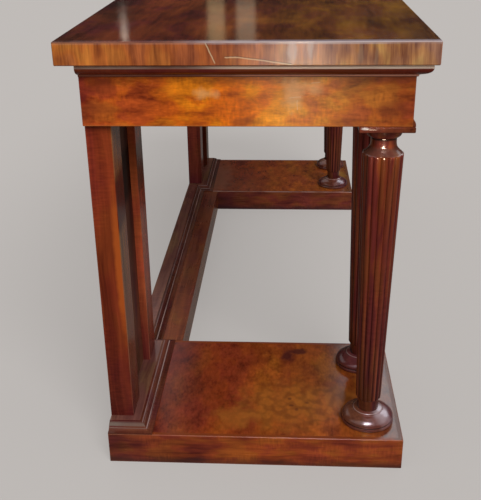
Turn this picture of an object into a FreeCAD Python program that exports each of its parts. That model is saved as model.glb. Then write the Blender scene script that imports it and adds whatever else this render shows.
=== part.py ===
import FreeCAD, Part
import math
import os
from FreeCAD import Vector

# A mahogany pier table. It stands on the floor with its back to a wall. Four reeded columns at the
# front and four flat pilasters at the back carry a frieze and a top. They stand on two plinths that a
# stretcher joins along the wall.
# Millimetres. X runs along the table, -Y is the front, +Y the wall side, and Z = 0 is the floor.

# Overall size
table_length = 1830.0
table_depth = 640.0
table_height = 856.0

# Top: a core inside four mitred lippings, under one sheet of veneer
slab_thickness = 40.0
slab_overhang = 32.3
slab_arris = 1.5
veneer_thickness = 2.5
lipping_width = 62.0

# Moulding under the top, along the front and both ends
moulding_drop = 24.5
moulding_reach = 24.0
moulding_nose_radius = 4.0
moulding_nose_turn = 30.0
moulding_belly_bulge = 2.4
moulding_cove_radius = 3.0

# Frieze: a mitred box of boards
frieze_height = 87.2
frieze_board = 24.0
frieze_arris = 1.0

# Bearers across the frieze, housed in its front and back boards
bearer_width = 72.0
bearer_thickness = 22.0
bearer_spacing = 450.0
bearer_housing_depth = 8.0

# Blocks inside the frieze that take the upper tenons of the columns and pilasters
block_width = 72.0
block_depth = 62.0
block_height = 60.0

# Columns
column_inset = 43.7
column_inner_inset = 84.7
cap_width = 97.0
cap_thickness = 9.8
cap_shoulder_height = 12.0
cap_shoulder_lip = 0.8
cap_shoulder_bulge = 1.2
shaft_top_radius = 37.8
shaft_bottom_radius = 25.5
foot_radius = 21.5
foot_height = 26.0
reed_count = 16
reed_flats = 3
reed_depth_share = 0.07
neck_height = 48.0
neck_set_in = 2.0
neck_radius = 23.5
neck_waist_drop = 27.0
neck_hollow = 3.5
echinus_foot_radius = 27.5
echinus_foot_drop = 17.5
echinus_radius = 33.0
echinus_drop = 8.0
tenon_radius = 14.0
tenon_in_block = 22.0
ring_radius = 53.5
ring_height = 30.0
ring_bead_height = 7.0
ring_quirk_top = 10.0
ring_quirk_depth = 2.2
ring_dome_bulge = 6.0
ring_neck_radius = 27.5
turned_chords = 2
joint_clearance = 0.2

# Pilasters and the panel between each pair
pilaster_width = 72.0
pilaster_depth = 47.0
pilaster_arris = 1.0
panel_recess = 16.0
panel_thickness = 14.0
panel_groove_depth = 8.0
pilaster_tenon_width = 40.0
pilaster_tenon_thickness = 12.0
pilaster_tenon_inset = 4.0
pilaster_tenon_top = 28.0
pilaster_tenon_in_plinth = 10.0

# Plinths
plinth_height = 68.6
plinth_length = 378.4
plinth_end_inset = 1.3
plinth_front_inset = 9.3
plinth_board = 18.0
plinth_rebate = 9.0
plinth_arris = 1.4
stretcher_depth = 108.2
stretcher_tenon_length = 10.0
stretcher_tenon_width = 60.0
stretcher_tenon_height = 30.0

# Ledge at the back of the base, with a planted moulding along its front
ledge_height = 15.2
ledge_border = 15.7
ledge_middle_depth = 58.7
ledge_moulding_reach = 28.0
ledge_lip = 5.0
ledge_quirk = 1.6
ledge_ovolo_reach = 9.5
ledge_ovolo_drop = 7.0
ledge_fillet = 1.6
ledge_toe_height = 2.0
ledge_cove_bulge = 1.4

# Triangular glue blocks
glue_block_side = 28.0
glue_block_length = 70.0
glue_block_steps = (-1.5, -0.5, 0.5, 1.5)

# How far a cutting shape runs past what it cuts
overcut = 1.0

# Heights worked out from the sizes above
slab_bottom = table_height - slab_thickness
frieze_bottom = slab_bottom - moulding_drop - frieze_height
cap_bottom = frieze_bottom - cap_thickness
ledge_top = plinth_height + ledge_height
plinth_top_bottom = plinth_height - plinth_board
ring_top = plinth_height + ring_height
bearer_bottom = slab_bottom - bearer_thickness

# Places in plan
slab_end = table_length / 2
slab_back = table_depth / 2
slab_front = -slab_back
frieze_end = slab_end - slab_overhang
frieze_front = slab_front + slab_overhang
frieze_back = slab_back - slab_overhang
frieze_inner_end = frieze_end - frieze_board
frieze_inner_front = frieze_front + frieze_board
frieze_inner_back = frieze_back - frieze_board
plinth_outer = slab_end - plinth_end_inset
plinth_inner = plinth_outer - plinth_length
column_outer_x = frieze_end - column_inset
column_inner_x = plinth_inner + column_inner_inset
column_y = frieze_front + column_inset
plinth_front = slab_front + plinth_front_inset
plinth_back = frieze_back
ledge_margin = ledge_border + ledge_moulding_reach
pilaster_outer_x = plinth_outer - ledge_margin
pilaster_inner_x = plinth_inner + ledge_margin
pilaster_front = plinth_back - pilaster_depth
panel_front = pilaster_front + panel_recess
stretcher_front = plinth_back - stretcher_depth
ledge_front = pilaster_front - ledge_margin
ledge_middle_front = plinth_back - ledge_middle_depth

sides = {"left": -1, "right": 1}
column_places = {
    "left_outer": -column_outer_x,
    "left_inner": -column_inner_x,
    "right_inner": column_inner_x,
    "right_outer": column_outer_x,
}
pilaster_places = {
    "left_outer": -pilaster_outer_x + pilaster_width / 2,
    "left_inner": -pilaster_inner_x - pilaster_width / 2,
    "right_inner": pilaster_inner_x + pilaster_width / 2,
    "right_outer": pilaster_outer_x - pilaster_width / 2,
}
bearer_places = {"left": -bearer_spacing, "middle": 0.0, "right": bearer_spacing}


# Shape helpers

def span_box(x_ends, y_ends, z_ends):
    """A box between two values on each axis, given in either order."""
    low = Vector(min(x_ends), min(y_ends), min(z_ends))
    high = Vector(max(x_ends), max(y_ends), max(z_ends))
    size = high - low
    return Part.makeBox(size.x, size.y, size.z, low)


def plan_prism(corners, z_ends):
    """A plan outline of (x, y) corners raised from the first height to the second."""
    points = [Vector(x, y, z_ends[0]) for x, y in corners]
    face = Part.Face(Part.makePolygon(points + points[:1]))
    return face.extrude(Vector(0, 0, z_ends[1] - z_ends[0]))


def outline(start, steps, place):
    """A closed face. A step is an end (a, b), or a point on an arc and its end (a, b, c, d)."""
    edges = []
    here = start
    for step in steps:
        end = step[-2:]
        if len(step) == 4:
            edges.append(Part.Arc(place(*here), place(*step[:2]), place(*end)).toShape())
        else:
            edges.append(Part.LineSegment(place(*here), place(*end)).toShape())
        here = end
    edges.append(Part.LineSegment(place(*here), place(*start)).toShape())
    return Part.Face(Part.Wire(edges))


def arc_point(centre, radius, degrees):
    turn = math.radians(degrees)
    return (centre[0] + radius * math.cos(turn), centre[1] + radius * math.sin(turn))


def bulge_point(start, end, bulge, share=0.5):
    """The point a share of the way along an arc that stands off its chord, to the right, by the bulge."""
    length = math.dist(start, end)
    along = ((end[0] - start[0]) / length, (end[1] - start[1]) / length)
    half_turn = 2 * math.atan2(2 * bulge, length)
    radius = length / (2 * math.sin(half_turn))
    turn = half_turn * (2 * share - 1)
    forward = length / 2 + radius * math.sin(turn)
    aside = radius * (math.cos(turn) - math.cos(half_turn))
    x = start[0] + along[0] * forward + along[1] * aside
    y = start[1] + along[1] * forward - along[0] * aside
    return (x, y)


def chords(start, end, bulge):
    """An arc as a few straight steps, which keeps the faces of turned work few."""
    return [bulge_point(start, end, bulge, (index + 1) / turned_chords) for index in range(turned_chords)]


def turned(start, steps):
    """A solid of revolution about Z from an outline of (radius, height) points."""
    face = outline(start, steps, lambda radius, height: Vector(radius, 0, height))
    return face.revolve(Vector(0, 0, 0), Vector(0, 0, 1), 360)


def upright_cylinder(x, y, radius, z_ends):
    return Part.makeCylinder(radius, z_ends[1] - z_ends[0], Vector(x, y, z_ends[0]))


def edges_where(shape, test):
    """The straight edges whose middle and direction pass a test."""
    found = []
    for edge in shape.Edges:
        ends = [vertex.Point for vertex in edge.Vertexes]
        if len(ends) == 2 and test((ends[0] + ends[1]) * 0.5, ends[1] - ends[0]):
            found.append(edge)
    return found


def is_upright(direction):
    return abs(direction.x) + abs(direction.y) < 1e-6


def moulded_run(profile, inner_ends, outer_ends):
    """A strip of moulding between two ends in plan. profile makes a face from a function that places
    a point (reach, height). The ends are cut along the lines from inner_ends to outer_ends."""
    inner = [Vector(x, y, 0) for x, y in inner_ends]
    outer = [Vector(x, y, 0) for x, y in outer_ends]
    along = (inner[1] - inner[0]).normalize()
    across = outer[0] - inner[0]
    outward = (across - along * across.dot(along)).normalize()
    spare = across.Length
    origin = inner[0] - along * spare
    face = profile(lambda reach, height: origin + outward * reach + Vector(0, 0, height))
    strip = face.extrude(along * ((inner[1] - inner[0]).Length + 2 * spare))
    corners = []
    for near, far in zip(inner, outer):
        spare_step = (far - near).normalize() * overcut
        corners.append((near - spare_step, far + spare_step))
    plan = [corners[0][0], corners[1][0], corners[1][1], corners[0][1]]
    z_ends = (strip.BoundBox.ZMin - overcut, strip.BoundBox.ZMax + overcut)
    return strip.common(plan_prism([(point.x, point.y) for point in plan], z_ends))


def save(name, shape):
    solids = shape.Solids
    if not solids or not shape.isValid():
        raise ValueError("bad shape: " + name)
    body = solids[0] if len(solids) == 1 else Part.makeCompound(solids)
    body.exportStep("parts/%s.step" % name)


# Top

def slab_form():
    form = span_box((-slab_end, slab_end), (slab_front, slab_back), (slab_bottom, table_height))
    return form.makeChamfer(slab_arris, form.Edges)


def top_lipping(form, corners):
    return form.common(plan_prism(corners, (slab_bottom, table_height - veneer_thickness)))


def build_top():
    form = slab_form()
    lipping_top = table_height - veneer_thickness
    inner_x = slab_end - lipping_width
    inner_y = slab_back - lipping_width
    sheet = span_box((-slab_end, slab_end), (slab_front, slab_back), (lipping_top, table_height))
    save("top_veneer", form.common(sheet))
    save("top_core", span_box((-inner_x, inner_x), (-inner_y, inner_y), (slab_bottom, lipping_top)))
    for name, y, inner in (("front", slab_front, -inner_y), ("back", slab_back, inner_y)):
        plan = [(-slab_end, y), (slab_end, y), (inner_x, inner), (-inner_x, inner)]
        save("top_lipping_" + name, top_lipping(form, plan))
    for name, side in sides.items():
        x = side * slab_end
        inner = side * inner_x
        plan = [(x, slab_front), (x, slab_back), (inner, inner_y), (inner, -inner_y)]
        save("top_lipping_" + name, top_lipping(form, plan))


# Moulding under the top: a thumb nose, a long belly and a small cove against the frieze

def top_moulding_profile(place):
    foot = slab_bottom - moulding_drop
    nose = (moulding_reach - moulding_nose_radius, slab_bottom - moulding_nose_radius)
    nose_middle = arc_point(nose, moulding_nose_radius, 45 - moulding_nose_turn / 2)
    nose_end = arc_point(nose, moulding_nose_radius, -moulding_nose_turn)
    belly_end = (moulding_cove_radius, foot + moulding_cove_radius)
    steps = [
        (nose[0], slab_bottom),
        nose_middle + nose_end,
        bulge_point(nose_end, belly_end, -moulding_belly_bulge) + belly_end,
        arc_point((moulding_cove_radius, foot), moulding_cove_radius, 135) + (0, foot),
    ]
    return outline((0, slab_bottom), steps, place)


def build_top_moulding():
    outer_x = frieze_end + moulding_reach
    outer_y = frieze_front - moulding_reach
    front = moulded_run(top_moulding_profile, [(-frieze_end, frieze_front), (frieze_end, frieze_front)],
                        [(-outer_x, outer_y), (outer_x, outer_y)])
    save("top_moulding_front", front)
    for name, side in sides.items():
        inner = [(side * frieze_end, frieze_front), (side * frieze_end, frieze_back)]
        outer = [(side * outer_x, outer_y), (side * outer_x, frieze_back)]
        save("top_moulding_" + name, moulded_run(top_moulding_profile, inner, outer))


# Frieze

def frieze_form():
    form = span_box((-frieze_end, frieze_end), (frieze_front, frieze_back), (frieze_bottom, slab_bottom))
    arrises = edges_where(form, lambda middle, way: (is_upright(way) and middle.y < 0)
                          or (middle.z < slab_bottom - overcut and not is_upright(way)))
    form = form.makeChamfer(frieze_arris, arrises)
    hollow = span_box((-frieze_inner_end, frieze_inner_end), (frieze_inner_front, frieze_inner_back),
                      (frieze_bottom - overcut, slab_bottom + overcut))
    return form.cut(hollow)


def bearer_shape(x):
    """A bearer with its ends in their housings. The housings are cut with the same shape."""
    y_ends = (frieze_inner_front - bearer_housing_depth, frieze_inner_back + bearer_housing_depth)
    return span_box((x - bearer_width / 2, x + bearer_width / 2), y_ends, (bearer_bottom, slab_bottom))


def build_frieze():
    form = frieze_form()
    z_ends = (frieze_bottom - overcut, slab_bottom + overcut)
    long_boards = (("front", frieze_front, frieze_inner_front), ("back", frieze_back, frieze_inner_back))
    for name, y, inner in long_boards:
        plan = [(-frieze_end, y), (frieze_end, y), (frieze_inner_end, inner), (-frieze_inner_end, inner)]
        board = form.common(plan_prism(plan, z_ends))
        for x in bearer_places.values():
            board = board.cut(bearer_shape(x))
        save("frieze_" + name, board)
    for name, side in sides.items():
        x = side * frieze_end
        inner = side * frieze_inner_end
        plan = [(x, frieze_front), (x, frieze_back), (inner, frieze_inner_back), (inner, frieze_inner_front)]
        save("frieze_" + name, form.common(plan_prism(plan, z_ends)))


def build_bearers():
    for name, x in bearer_places.items():
        save("top_bearer_" + name, bearer_shape(x))


# Blocks that take the tenons at the top

def top_block(x, y_ends):
    """A block under the frieze boards. One that would run past the end of the frieze is set against it."""
    low = max(x - block_width / 2, -frieze_inner_end)
    low = min(low, frieze_inner_end - block_width)
    return span_box((low, low + block_width), y_ends, (frieze_bottom, frieze_bottom + block_height))


def column_block(x):
    block = top_block(x, (frieze_inner_front, frieze_inner_front + block_depth))
    hole_top = frieze_bottom + tenon_in_block + joint_clearance
    return block.cut(upright_cylinder(x, column_y, tenon_radius + joint_clearance, (frieze_bottom, hole_top)))


def pilaster_tenon(x, z_ends, slack):
    """A flat tenon of a pilaster, or its mortise where the slack widens it."""
    y = pilaster_front + pilaster_tenon_inset
    return span_box((x - pilaster_tenon_width / 2 - slack, x + pilaster_tenon_width / 2 + slack),
                    (y - slack, y + pilaster_tenon_thickness + slack), z_ends)


def pilaster_block(x):
    block = top_block(x, (frieze_inner_back - block_depth, frieze_inner_back))
    mortise_top = frieze_bottom + pilaster_tenon_top + joint_clearance
    return block.cut(pilaster_tenon(x, (frieze_bottom, mortise_top), joint_clearance))


def build_blocks():
    save("column_blocks", Part.makeCompound([column_block(x) for x in column_places.values()]))
    save("pilaster_blocks", Part.makeCompound([pilaster_block(x) for x in pilaster_places.values()]))


# Columns

def column_cap(x):
    """A square cap, with a rounded shoulder that climbs the front face of the frieze."""
    half = cap_width / 2
    front = column_y - half
    shoulder_foot = (front, frieze_bottom)
    shoulder_top = (frieze_front - cap_shoulder_lip, frieze_bottom + cap_shoulder_height)
    profile = [
        *chords(shoulder_foot, shoulder_top, -cap_shoulder_bulge),
        (frieze_front, shoulder_top[1]),
        (frieze_front, frieze_bottom),
    ]
    shoulder = outline(shoulder_foot, profile, lambda y, z: Vector(x - column_inset, y, z))
    slab = span_box((x - half, x + half), (front, column_y + half), (cap_bottom, frieze_bottom))
    hole_ends = (cap_bottom - overcut, frieze_bottom + overcut)
    hole = upright_cylinder(x, column_y, tenon_radius + joint_clearance, hole_ends)
    return slab.fuse(shoulder.extrude(Vector(2 * column_inset, 0, 0))).removeSplitter().cut(hole)


def reeded_ring(radius, z):
    """Points round a ring of reeds at one height. Each reed is a half round made of a few flats."""
    points = []
    for index in range(reed_count * reed_flats):
        reed, flat = divmod(index, reed_flats)
        across, rise = arc_point((0, 0), 1, 180 - 180 * flat / reed_flats)
        reach = radius * (1 - reed_depth_share * (1 - rise))
        x, y = arc_point((0, 0), reach, 360 * (reed + across / 2) / reed_count)
        points.append(Vector(x, y, z))
    return points


def reeds_shape(z_ends):
    """The tapered, reeded length of a shaft about Z. Its end rings have one shape, so its sides are flat."""
    low = reeded_ring(shaft_bottom_radius, z_ends[0])
    high = reeded_ring(shaft_top_radius, z_ends[1])
    faces = [Part.Face(Part.makePolygon(ring + ring[:1])) for ring in (low, high)]
    for index in range(len(low)):
        sides_of_flat = [low[index - 1], low[index], high[index], high[index - 1], low[index - 1]]
        faces.append(Part.Face(Part.makePolygon(sides_of_flat)))
    return Part.makeSolid(Part.makeShell(faces))


def shaft_shape():
    """One turned and reeded shaft about Z, at its real height, with a round tenon at each end."""
    foot_top = ring_top + foot_height
    reeds_top = cap_bottom - neck_height
    neck_start = (shaft_top_radius - neck_set_in, reeds_top)
    waist = (neck_radius, cap_bottom - neck_waist_drop)
    echinus_foot = cap_bottom - echinus_foot_drop
    neck = [
        (tenon_radius, reeds_top),
        neck_start,
        *chords(neck_start, waist, -neck_hollow),
        (neck_radius, echinus_foot),
        (echinus_foot_radius, echinus_foot),
        (echinus_radius, cap_bottom - echinus_drop),
        (echinus_radius, cap_bottom),
        (tenon_radius, cap_bottom),
        (tenon_radius, frieze_bottom + tenon_in_block),
        (0, frieze_bottom + tenon_in_block),
    ]
    foot = [
        (tenon_radius, plinth_top_bottom),
        (tenon_radius, ring_top),
        (foot_radius, ring_top),
        (foot_radius, foot_top),
        (0, foot_top),
    ]
    reeds = reeds_shape((foot_top, reeds_top))
    return reeds.fuse([turned((0, reeds_top), neck), turned((0, plinth_top_bottom), foot)]).removeSplitter()


def ring_shape():
    """The turned base ring about Z: a bead, a quirk and a dome."""
    z = plinth_height
    bore = tenon_radius + joint_clearance
    quirk = (ring_radius - ring_quirk_depth, z + (ring_bead_height + ring_quirk_top) / 2)
    dome_foot = (ring_radius, z + ring_quirk_top)
    return turned((bore, z), [
        (ring_radius, z),
        (ring_radius, z + ring_bead_height),
        quirk,
        dome_foot,
        *chords(dome_foot, (ring_neck_radius, ring_top), ring_dome_bulge),
        (bore, ring_top),
    ])


def build_columns():
    shaft = shaft_shape()
    ring = ring_shape()
    for name, x in column_places.items():
        save("column_shaft_" + name, shaft.translated(Vector(x, column_y, 0)))
    places = column_places.values()
    save("column_caps", Part.makeCompound([column_cap(x) for x in places]))
    save("column_rings", Part.makeCompound([ring.translated(Vector(x, column_y, 0)) for x in places]))


# Pilasters and panels

def pilaster_shape(x, panel_side):
    """A pilaster with its tenons, and a groove on the side where its panel stands."""
    half = pilaster_width / 2
    post = span_box((x - half, x + half), (pilaster_front, plinth_back), (ledge_top, frieze_bottom))
    arrises = edges_where(post, lambda middle, way: is_upright(way) and middle.y < pilaster_front + overcut)
    post = post.makeChamfer(pilaster_arris, arrises)
    groove_edge = x + panel_side * half
    groove = span_box((groove_edge, groove_edge - panel_side * panel_groove_depth),
                      (panel_front, panel_front + panel_thickness), (ledge_top, frieze_bottom))
    upper = pilaster_tenon(x, (frieze_bottom, frieze_bottom + pilaster_tenon_top), 0.0)
    lower = pilaster_tenon(x, (plinth_height - pilaster_tenon_in_plinth, ledge_top), 0.0)
    return post.cut(groove).fuse([upper, lower]).removeSplitter()


def build_pilasters():
    for name, x in pilaster_places.items():
        side_name, place = name.split("_")
        inward = 1 if place == "inner" else -1
        save("pilaster_" + name, pilaster_shape(x, sides[side_name] * inward))
    for name, side in sides.items():
        x_ends = [side * (pilaster_inner_x + pilaster_width - panel_groove_depth),
                  side * (pilaster_outer_x - pilaster_width + panel_groove_depth)]
        panel = span_box(x_ends, (panel_front, panel_front + panel_thickness), (ledge_top, frieze_bottom))
        save("back_panel_" + name, panel)


# Plinths: four boards round a top board that lies in a rebate

def plinth_form(side):
    x_ends = (side * plinth_inner, side * plinth_outer)
    form = span_box(x_ends, (plinth_front, plinth_back), (0, plinth_height))
    arrises = edges_where(form, lambda middle, way: (is_upright(way) and middle.y < 0)
                          or (middle.z > plinth_height - overcut and middle.y < plinth_back - overcut))
    return form.makeChamfer(plinth_arris, arrises)


def plinth_top_box(side):
    x_ends = (side * (plinth_inner + plinth_rebate), side * (plinth_outer - plinth_rebate))
    return span_box(x_ends, (plinth_front + plinth_rebate, plinth_back), (plinth_top_bottom, plinth_height))


def ledge_mortises(side):
    """The mortises of both pilasters of one side, through the ledge and into the plinth top."""
    holes = []
    for name, x in pilaster_places.items():
        if x * side > 0:
            bottom = plinth_height - pilaster_tenon_in_plinth - joint_clearance
            holes.append(pilaster_tenon(x, (bottom, ledge_top), joint_clearance))
    return holes


def build_plinth(name, side):
    form = plinth_form(side)
    top_room = plinth_top_box(side)
    top = top_room
    hole_ends = (plinth_top_bottom - overcut, plinth_height + overcut)
    for x in column_places.values():
        if x * side > 0:
            top = top.cut(upright_cylinder(x, column_y, tenon_radius + joint_clearance, hole_ends))
    save("plinth_top_" + name, top.cut(ledge_mortises(side)))
    frame = form.cut(top_room)
    z_ends = (-overcut, plinth_height + overcut)
    x_outer = side * plinth_outer
    x_inner = side * plinth_inner
    x_outer_in = side * (plinth_outer - plinth_board)
    x_inner_in = side * (plinth_inner + plinth_board)
    y_in = plinth_front + plinth_board
    front = [(x_outer, plinth_front), (x_inner, plinth_front), (x_inner_in, y_in), (x_outer_in, y_in)]
    save("plinth_front_" + name, frame.common(plan_prism(front, z_ends)))
    outer = [(x_outer, plinth_front), (x_outer, plinth_back), (x_outer_in, plinth_back), (x_outer_in, y_in)]
    save("plinth_outer_" + name, frame.common(plan_prism(outer, z_ends)))
    inner = [(x_inner, plinth_front), (x_inner, plinth_back), (x_inner_in, plinth_back), (x_inner_in, y_in)]
    inner_board = frame.common(plan_prism(inner, z_ends))
    save("plinth_inner_" + name, inner_board.cut(stretcher_tenon(side, joint_clearance)))
    back_y_ends = (plinth_back - plinth_board, plinth_back)
    save("plinth_back_" + name, span_box((x_outer_in, x_inner_in), back_y_ends, (0, plinth_top_bottom)))


# Stretcher: a solid rail with a tenon into each plinth

def stretcher_tenon(side, slack):
    x_ends = (side * plinth_inner, side * (plinth_inner + stretcher_tenon_length + slack))
    y = (stretcher_front + plinth_back) / 2
    z = plinth_top_bottom / 2
    return span_box(x_ends, (y - stretcher_tenon_width / 2 - slack, y + stretcher_tenon_width / 2 + slack),
                    (z - stretcher_tenon_height / 2 - slack, z + stretcher_tenon_height / 2 + slack))


def build_stretcher():
    rail = span_box((-plinth_inner, plinth_inner), (stretcher_front, plinth_back), (0, plinth_height))
    arris = edges_where(rail, lambda middle, way: middle.z > plinth_height - overcut
                        and middle.y < stretcher_front + overcut)
    rail = rail.makeChamfer(plinth_arris, arris)
    save("stretcher", rail.fuse([stretcher_tenon(side, 0.0) for side in sides.values()]))


# Ledge: boards behind a mitred moulding with an ovolo and a cove

def ledge_profile(place):
    ovolo_top = (ledge_lip, ledge_top - ledge_quirk)
    ovolo_end = (ledge_lip + ledge_ovolo_reach, ledge_top - ledge_quirk - ledge_ovolo_drop)
    cove_top = (ovolo_end[0] + ledge_fillet, ovolo_end[1])
    toe = (ledge_moulding_reach, plinth_height + ledge_toe_height)
    steps = [
        (0, ledge_top),
        (ledge_lip, ledge_top),
        ovolo_top,
        bulge_point(ovolo_top, ovolo_end, -ledge_cove_bulge) + ovolo_end,
        cove_top,
        bulge_point(cove_top, toe, ledge_cove_bulge) + toe,
        (ledge_moulding_reach, plinth_height),
    ]
    return outline((0, plinth_height), steps, place)


def build_ledge():
    reach = ledge_moulding_reach
    z_ends = (plinth_height, ledge_top)
    board_front = ledge_front + reach
    middle_front = ledge_middle_front + reach
    inner_x = plinth_inner + reach
    outer_x = plinth_outer - reach
    middle = span_box((-inner_x, inner_x), (middle_front, plinth_back), z_ends)
    save("ledge_middle", middle)
    run = moulded_run(ledge_profile, [(-inner_x, middle_front), (inner_x, middle_front)],
                      [(-plinth_inner, ledge_middle_front), (plinth_inner, ledge_middle_front)])
    save("ledge_moulding_middle", run)
    for name, side in sides.items():
        board = span_box((side * inner_x, side * outer_x), (board_front, plinth_back), z_ends)
        save("ledge_" + name, board.cut(ledge_mortises(side)))
        outer_corner = (side * outer_x, board_front)
        outer_toe = (side * plinth_outer, ledge_front)
        inner_corner = (side * inner_x, board_front)
        inner_toe = (side * plinth_inner, ledge_front)
        front = moulded_run(ledge_profile, [outer_corner, inner_corner], [outer_toe, inner_toe])
        save("ledge_moulding_front_" + name, front)
        end = moulded_run(ledge_profile, [outer_corner, (side * outer_x, plinth_back)],
                          [outer_toe, (side * plinth_outer, plinth_back)])
        save("ledge_moulding_end_" + name, end)
        back_corner = (side * inner_x, middle_front)
        back_toe = (side * plinth_inner, ledge_middle_front)
        inner = moulded_run(ledge_profile, [inner_corner, back_corner], [inner_toe, back_toe])
        save("ledge_moulding_inner_" + name, inner)


# Glue blocks: three-cornered, in the angle between a board and what lies on it

def glue_block(x, y, top, facing):
    """A block whose upright face looks away from facing, a unit (x, y) into the open space."""
    ahead = Vector(facing[0], facing[1], 0)
    along = Vector(-facing[1], facing[0], 0)
    start = Vector(x, y, top) - along * (glue_block_length / 2)
    corners = [start, start + ahead * glue_block_side, start - Vector(0, 0, glue_block_side)]
    face = Part.Face(Part.makePolygon(corners + corners[:1]))
    return face.extrude(along * glue_block_length)


def build_glue_blocks():
    blocks = []
    for step in glue_block_steps:
        x = step * bearer_spacing
        blocks.append(glue_block(x, frieze_inner_front, slab_bottom, (0, 1)))
        blocks.append(glue_block(x, frieze_inner_back, slab_bottom, (0, -1)))
    for side in sides.values():
        blocks.append(glue_block(side * frieze_inner_end, 0, slab_bottom, (-side, 0)))
        middle_x = side * (plinth_inner + plinth_outer) / 2
        blocks.append(glue_block(middle_x, plinth_front + plinth_board, plinth_top_bottom, (0, 1)))
        blocks.append(glue_block(middle_x, plinth_back - plinth_board, plinth_top_bottom, (0, -1)))
        blocks.append(glue_block(side * (plinth_outer - plinth_board), 0, plinth_top_bottom, (-side, 0)))
        blocks.append(glue_block(side * (plinth_inner + plinth_board), 0, plinth_top_bottom, (side, 0)))
    save("glue_blocks", Part.makeCompound(blocks))


os.makedirs("parts", exist_ok=True)
build_top()
build_top_moulding()
build_frieze()
build_bearers()
build_blocks()
build_columns()
build_pilasters()
for plinth_name, plinth_side in sides.items():
    build_plinth(plinth_name, plinth_side)
build_stretcher()
build_ledge()
build_glue_blocks()
print("parts written:", len(os.listdir("parts")))
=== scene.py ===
import math

import bmesh
import bpy
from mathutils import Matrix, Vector


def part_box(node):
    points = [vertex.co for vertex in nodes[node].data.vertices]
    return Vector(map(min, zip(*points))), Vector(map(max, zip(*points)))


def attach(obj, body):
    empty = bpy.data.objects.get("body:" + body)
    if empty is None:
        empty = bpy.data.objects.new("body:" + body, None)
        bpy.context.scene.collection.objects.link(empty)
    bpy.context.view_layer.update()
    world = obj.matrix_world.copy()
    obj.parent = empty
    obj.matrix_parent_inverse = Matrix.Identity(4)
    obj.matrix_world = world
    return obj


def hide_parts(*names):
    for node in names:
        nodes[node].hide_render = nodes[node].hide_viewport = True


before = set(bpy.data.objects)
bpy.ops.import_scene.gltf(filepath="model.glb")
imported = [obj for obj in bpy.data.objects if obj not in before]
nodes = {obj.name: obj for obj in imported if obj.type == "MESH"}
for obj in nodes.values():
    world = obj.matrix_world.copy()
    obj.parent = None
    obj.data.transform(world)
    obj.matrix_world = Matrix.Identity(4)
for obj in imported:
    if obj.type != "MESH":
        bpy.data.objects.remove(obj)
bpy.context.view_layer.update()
scene = bpy.context.scene
scene.view_settings.view_transform = "Standard"
print("frame loaded:", len(nodes), "nodes")

cameraSetup = {
    "place": (-2.2608, -0.0702, 1.0860),
    "turn": (65.9279, 0.7376, -86.8803),  # degrees
    "lens": 58.59,
}


def makeCamera(setup):
    data = bpy.data.cameras.new("camera")
    data.lens = setup["lens"]
    camera = bpy.data.objects.new("camera", data)
    camera.location = setup["place"]
    camera.rotation_euler = [math.radians(angle) for angle in setup["turn"]]
    scene.collection.objects.link(camera)
    scene.camera = camera


makeCamera(cameraSetup)
print("camera placed")


class Signal:  # a node's output that takes part in Python sums
    def __init__(self, finish, socket):
        self.finish = finish
        self.socket = socket

    def maths(self, operation, *values):
        return self.finish.node("Math", {"operation": operation}, dict(enumerate(values)))

    def __add__(self, other):
        return self.maths("ADD", self, other)

    def __radd__(self, other):
        return self.maths("ADD", other, self)

    def __sub__(self, other):
        return self.maths("SUBTRACT", self, other)

    def __rsub__(self, other):
        return self.maths("SUBTRACT", other, self)

    def __mul__(self, other):
        return self.maths("MULTIPLY", self, other)

    def __rmul__(self, other):
        return self.maths("MULTIPLY", other, self)

    def __truediv__(self, other):
        return self.maths("DIVIDE", self, other)

    def __pow__(self, other):
        return self.maths("POWER", self, other)

    def __mod__(self, other):
        return self.maths("FLOORED_MODULO", self, other)

    def __abs__(self):
        return self.maths("ABSOLUTE", self)


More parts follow.
